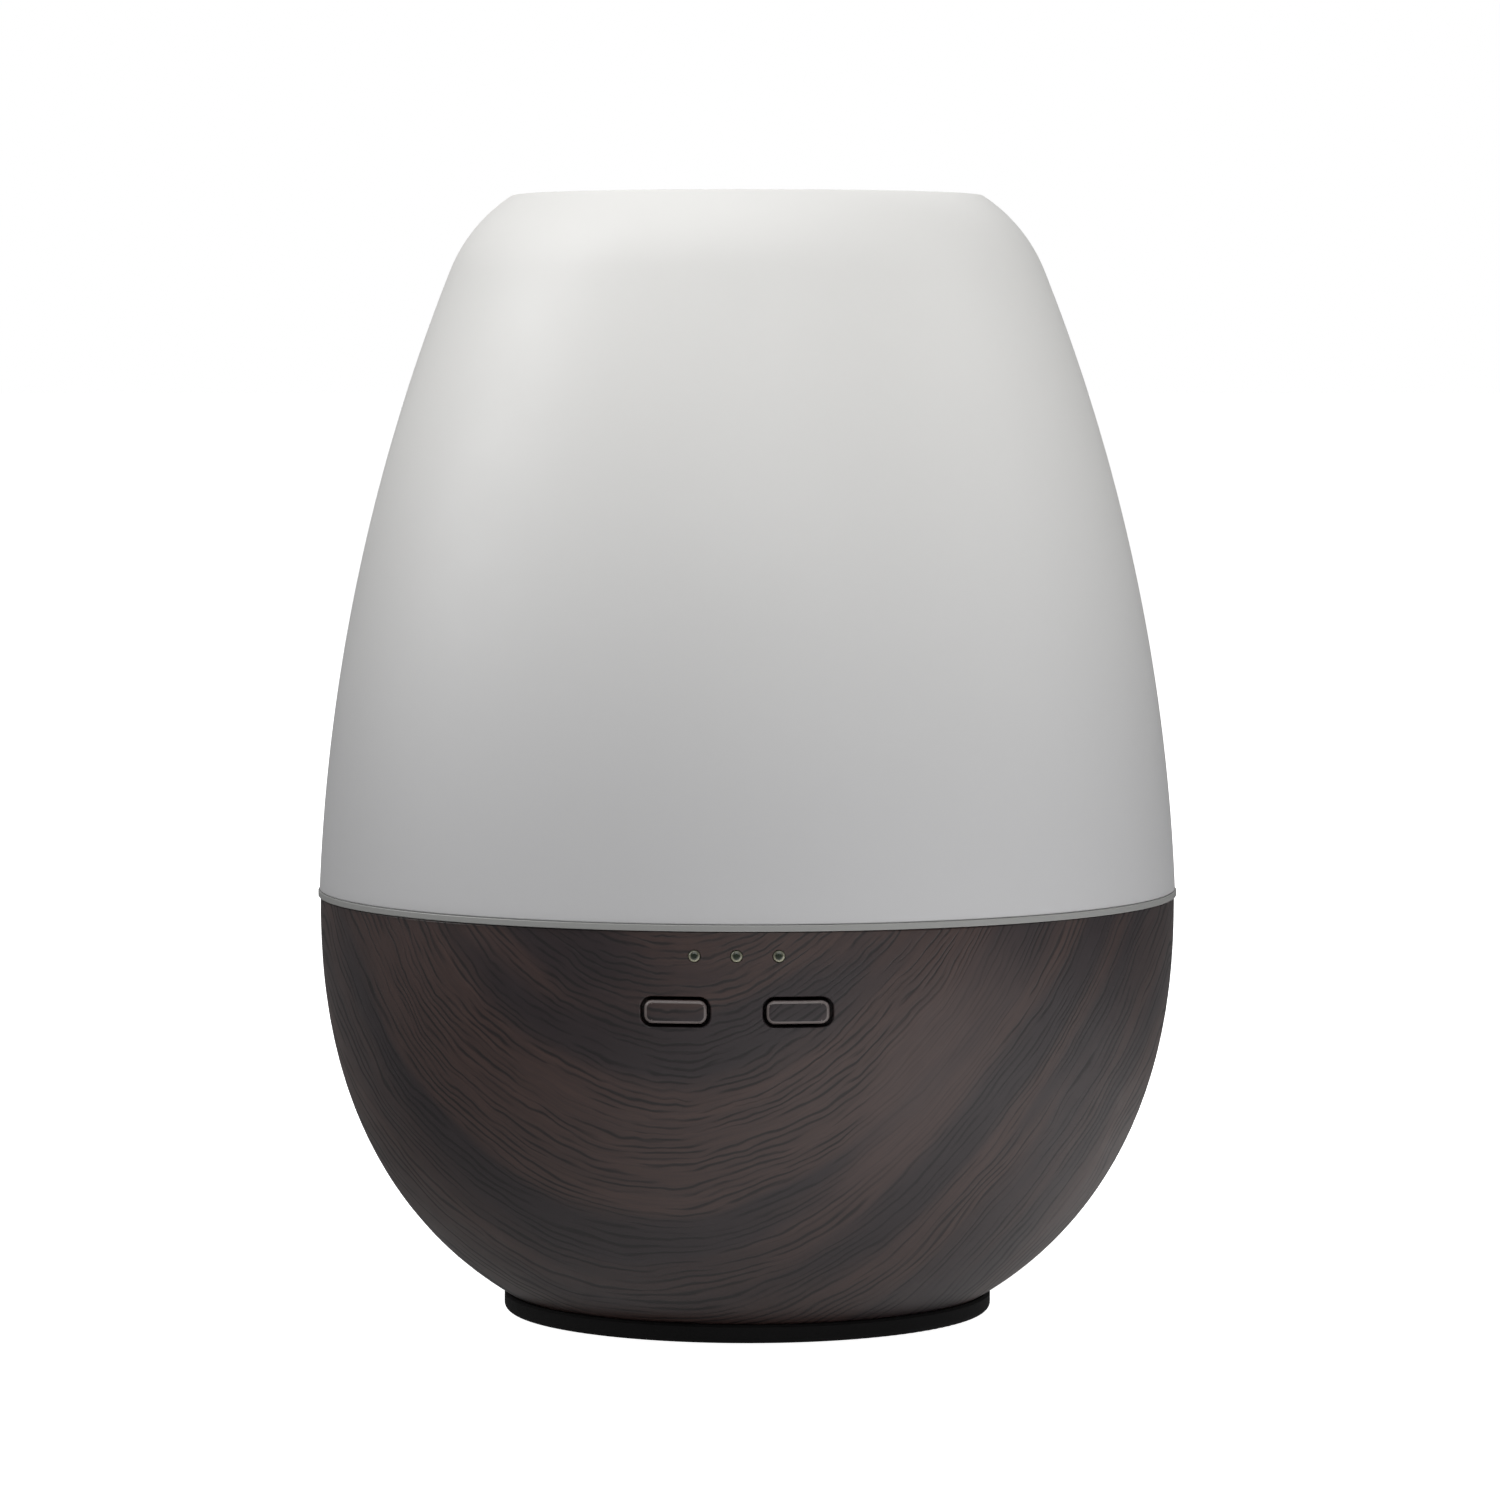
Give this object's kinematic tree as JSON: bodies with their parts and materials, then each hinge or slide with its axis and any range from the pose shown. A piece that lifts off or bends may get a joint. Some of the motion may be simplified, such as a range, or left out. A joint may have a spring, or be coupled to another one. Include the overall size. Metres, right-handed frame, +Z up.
{
  "type": "cool mist humidifier",
  "caption": "Ultrasonic cool mist humidifier: frosted lift-off dome with a chimney over a water tank in a wood-print bowl, with push buttons, indicator lenses and a fan.",
  "frame": {"origin": "centre of the underside, on the surface that the feet stand on", "axes": "+Z up through the mist outlet, the buttons face -Y"},
  "size_m": [0.154, 0.154, 0.2008],
  "materials": {
    "wood_print": "dark wood grain print under a satin lacquer",
    "black_plastic": "fine matte texture",
    "foot_rubber": "soft matte rubber",
    "screw_steel": "zinc plated",
    "tank_plastic": "pale grey translucent, satin",
    "stainless": "bright",
    "silicone": "translucent silicone",
    "circuit_board": "green solder mask",
    "ferrite": "dark grey ferrite",
    "can_aluminium": "plain aluminium",
    "black_epoxy": "moulded epoxy",
    "white_nylon": "moulded nylon",
    "lamp_resin": "lamp resin",
    "clear_acrylic": "clear polished acrylic",
    "bearing_brass": "sintered bearing brass",
    "lead_vinyl": "vinyl insulation",
    "frosted_white": "frosted translucent white",
    "inner_white": "white, satin"
  },
  "bodies": {
    "base": {"base_shell": "wood_print", "bottom_cover": "black_plastic", "rubber_feet": "foot_rubber", "foot_screws": "screw_steel", "water_tank": "tank_plastic", "air_duct": "tank_plastic", "level_probe": "stainless", "transducer_disc": "stainless", "transducer_seal": "silicone", "transducer_clamp": "stainless", "clamp_screws": "screw_steel", "main_board": "circuit_board", "board_screws": "screw_steel", "inductors": "ferrite", "capacitors": "can_aluminium", "power_transistor": "black_epoxy", "heat_sink": "can_aluminium", "controller_chip": "black_epoxy", "board_connectors": "white_nylon", "dc_jack": "black_epoxy", "key_board": "circuit_board", "key_screws": "screw_steel", "key_switches": "black_epoxy", "key_connector": "white_nylon", "indicator_leds": "lamp_resin", "light_pipe": "clear_acrylic", "light_board": "circuit_board", "light_screws": "screw_steel", "light_leds": "lamp_resin", "fan_frame": "black_plastic", "fan_screws": "screw_steel", "fan_bearing": "bearing_brass", "fan_stator": "ferrite", "transducer_lead": "lead_vinyl", "fan_lead": "lead_vinyl", "key_lead": "lead_vinyl", "light_lead": "lead_vinyl"},
    "cover": {"cover_dome": "frosted_white", "mist_chimney": "inner_white"},
    "mist_key": {"mist_button": "wood_print", "mist_plunger": "black_epoxy"},
    "light_key": {"light_button": "wood_print", "light_plunger": "black_epoxy"},
    "fan_rotor": {"fan_impeller": "black_plastic", "rotor_magnet": "ferrite", "fan_shaft": "stainless"}
  },
  "joints": [
    {"name": "cover_lift", "type": "slide", "parent": "base", "child": "cover", "axis": [0, 0, 1], "range_m": [0, 0.15]},
    {"name": "mist_button_press", "type": "slide", "parent": "base", "child": "mist_key", "axis": [0, 1, 0], "range_m": [0, 0.0004], "stiffness_N_per_m": 2300, "springref_m": -0.0003},
    {"name": "light_button_press", "type": "slide", "parent": "base", "child": "light_key", "axis": [0, 1, 0], "range_m": [0, 0.0004], "stiffness_N_per_m": 2300, "springref_m": -0.0003},
    {"name": "fan_spin", "type": "hinge", "parent": "base", "child": "fan_rotor", "pos_m": [0, -0.01465, 0.0098], "axis": [0, 0, 1], "continuous": true}
  ]
}
